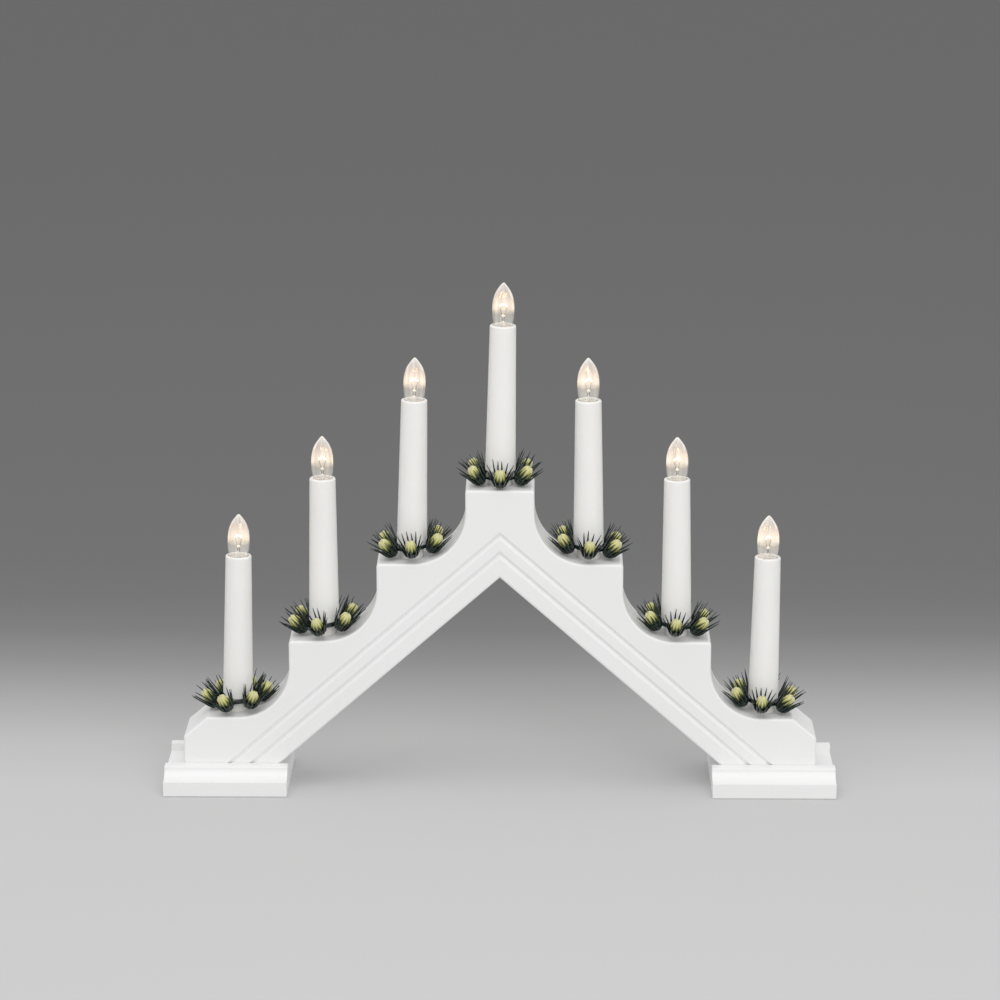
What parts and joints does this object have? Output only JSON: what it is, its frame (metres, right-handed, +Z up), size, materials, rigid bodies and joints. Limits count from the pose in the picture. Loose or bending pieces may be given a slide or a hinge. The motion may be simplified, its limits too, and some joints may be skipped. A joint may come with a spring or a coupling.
{
  "type": "electric candle arch",
  "caption": "White wooden candle arch on two moulded feet, stepped seats carrying electric candles with clear bulbs and needle rings",
  "frame": {"origin": "on the standing surface, midway between the feet", "axes": "X along the arch to the right seen from the front, Y from front to back, Z up"},
  "size_m": [0.4, 0.0706, 0.305],
  "materials": {
    "painted_wood": "white satin paint over wood, brushed grain just showing",
    "holder_plastic": "white moulded plastic",
    "candle_plastic": "white satin plastic candle tube",
    "clear_glass": "clear ribbed bulb glass",
    "cap_metal": "plain brass screw cap",
    "filament_metal": "filament with its leads and mount",
    "needle_plastic": "dark blue-green moulded needles, slight sheen",
    "bud_plastic": "pale yellow-green buds",
    "shell_metal": "plain brass shells and contacts",
    "wire_insulation": "white wire insulation",
    "clamp_plastic": "white moulded plastic",
    "steel": "zinc-plated steel"
  },
  "bodies": {
    "frame": {"arch_board": "painted_wood", "foot_left": "painted_wood", "foot_right": "painted_wood", "foot_screws": "steel", "lamp_holder_1": "holder_plastic", "lamp_holder_2": "holder_plastic", "lamp_holder_3": "holder_plastic", "lamp_holder_4": "holder_plastic", "lamp_holder_5": "holder_plastic", "lamp_holder_6": "holder_plastic", "lamp_holder_7": "holder_plastic", "holder_shells": "shell_metal", "holder_contacts": "shell_metal", "series_wires": "wire_insulation", "feed_wires": "wire_insulation", "wire_staples": "steel", "cord_clamp": "clamp_plastic", "clamp_screws": "steel"},
    "bulb_1": {"bulb_glass_1": "clear_glass", "bulb_cap_1": "cap_metal", "bulb_filament_1": "filament_metal"},
    "sleeve_1": {"candle_sleeve_1": "candle_plastic"},
    "ring_1": {"needle_ring_1": "needle_plastic", "ring_buds_1": "bud_plastic"},
    "bulb_2": {"bulb_glass_2": "clear_glass", "bulb_cap_2": "cap_metal", "bulb_filament_2": "filament_metal"},
    "sleeve_2": {"candle_sleeve_2": "candle_plastic"},
    "ring_2": {"needle_ring_2": "needle_plastic", "ring_buds_2": "bud_plastic"},
    "bulb_3": {"bulb_glass_3": "clear_glass", "bulb_cap_3": "cap_metal", "bulb_filament_3": "filament_metal"},
    "sleeve_3": {"candle_sleeve_3": "candle_plastic"},
    "ring_3": {"needle_ring_3": "needle_plastic", "ring_buds_3": "bud_plastic"},
    "bulb_4": {"bulb_glass_4": "clear_glass", "bulb_cap_4": "cap_metal", "bulb_filament_4": "filament_metal"},
    "sleeve_4": {"candle_sleeve_4": "candle_plastic"},
    "ring_4": {"needle_ring_4": "needle_plastic", "ring_buds_4": "bud_plastic"},
    "bulb_5": {"bulb_glass_5": "clear_glass", "bulb_cap_5": "cap_metal", "bulb_filament_5": "filament_metal"},
    "sleeve_5": {"candle_sleeve_5": "candle_plastic"},
    "ring_5": {"needle_ring_5": "needle_plastic", "ring_buds_5": "bud_plastic"},
    "bulb_6": {"bulb_glass_6": "clear_glass", "bulb_cap_6": "cap_metal", "bulb_filament_6": "filament_metal"},
    "sleeve_6": {"candle_sleeve_6": "candle_plastic"},
    "ring_6": {"needle_ring_6": "needle_plastic", "ring_buds_6": "bud_plastic"},
    "bulb_7": {"bulb_glass_7": "clear_glass", "bulb_cap_7": "cap_metal", "bulb_filament_7": "filament_metal"},
    "sleeve_7": {"candle_sleeve_7": "candle_plastic"},
    "ring_7": {"needle_ring_7": "needle_plastic", "ring_buds_7": "bud_plastic"}
  },
  "joints": [
    {"name": "bulb_1_lift", "type": "slide", "parent": "frame", "child": "bulb_1", "axis": [0.0209, 0, 0.9998], "range_m": [0, 0.036]},
    {"name": "sleeve_1_turn", "type": "hinge", "parent": "frame", "child": "sleeve_1", "pos_m": [-0.15645, 0, 0.09419], "axis": [0.0209, 0, 0.9998], "continuous": true},
    {"name": "ring_1_turn", "type": "hinge", "parent": "frame", "child": "ring_1", "pos_m": [-0.15736, 0, 0.0507], "axis": [-0.1045, 0, 0.9945], "continuous": true},
    {"name": "bulb_2_lift", "type": "slide", "parent": "frame", "child": "bulb_2", "axis": [0, 0, 1], "range_m": [0, 0.036]},
    {"name": "sleeve_2_turn", "type": "hinge", "parent": "frame", "child": "sleeve_2", "pos_m": [-0.105, 0, 0.1418], "axis": [0, 0, 1], "continuous": true},
    {"name": "ring_2_turn", "type": "hinge", "parent": "frame", "child": "ring_2", "pos_m": [-0.105, 0, 0.0983], "axis": [-0.1045, 0, 0.9945], "continuous": true},
    {"name": "bulb_3_lift", "type": "slide", "parent": "frame", "child": "bulb_3", "axis": [0.0209, 0, 0.9998], "range_m": [0, 0.036]},
    {"name": "sleeve_3_turn", "type": "hinge", "parent": "frame", "child": "sleeve_3", "pos_m": [-0.05145, 0, 0.18939], "axis": [0.0209, 0, 0.9998], "continuous": true},
    {"name": "ring_3_turn", "type": "hinge", "parent": "frame", "child": "ring_3", "pos_m": [-0.05236, 0, 0.1459], "axis": [-0.1045, 0, 0.9945], "continuous": true},
    {"name": "bulb_4_lift", "type": "slide", "parent": "frame", "child": "bulb_4", "axis": [0.0175, 0, 0.9998], "range_m": [0, 0.036]},
    {"name": "sleeve_4_turn", "type": "hinge", "parent": "frame", "child": "sleeve_4", "pos_m": [0.00087, 0, 0.23419], "axis": [0.0175, 0, 0.9998], "continuous": true},
    {"name": "ring_4_turn", "type": "hinge", "parent": "frame", "child": "ring_4", "pos_m": [0.00008, 0, 0.1889], "axis": [0, 0, 1], "continuous": true},
    {"name": "bulb_5_lift", "type": "slide", "parent": "frame", "child": "bulb_5", "axis": [-0.007, 0, 1], "range_m": [0, 0.036]},
    {"name": "sleeve_5_turn", "type": "hinge", "parent": "frame", "child": "sleeve_5", "pos_m": [0.05215, 0, 0.1894], "axis": [-0.007, 0, 1], "continuous": true},
    {"name": "ring_5_turn", "type": "hinge", "parent": "frame", "child": "ring_5", "pos_m": [0.05245, 0, 0.1459], "axis": [0.1045, 0, 0.9945], "continuous": true},
    {"name": "bulb_6_lift", "type": "slide", "parent": "frame", "child": "bulb_6", "axis": [-0.0052, 0, 1], "range_m": [0, 0.036]},
    {"name": "sleeve_6_turn", "type": "hinge", "parent": "frame", "child": "sleeve_6", "pos_m": [0.10474, 0, 0.1418], "axis": [-0.0052, 0, 1], "continuous": true},
    {"name": "ring_6_turn", "type": "hinge", "parent": "frame", "child": "ring_6", "pos_m": [0.10497, 0, 0.0983], "axis": [0.1045, 0, 0.9945], "continuous": true},
    {"name": "bulb_7_lift", "type": "slide", "parent": "frame", "child": "bulb_7", "axis": [0.014, 0, 0.9999], "range_m": [0, 0.036]},
    {"name": "sleeve_7_turn", "type": "hinge", "parent": "frame", "child": "sleeve_7", "pos_m": [0.1582, 0, 0.0942], "axis": [0.014, 0, 0.9999], "continuous": true},
    {"name": "ring_7_turn", "type": "hinge", "parent": "frame", "child": "ring_7", "pos_m": [0.15759, 0, 0.0507], "axis": [0.1045, 0, 0.9945], "continuous": true}
  ]
}
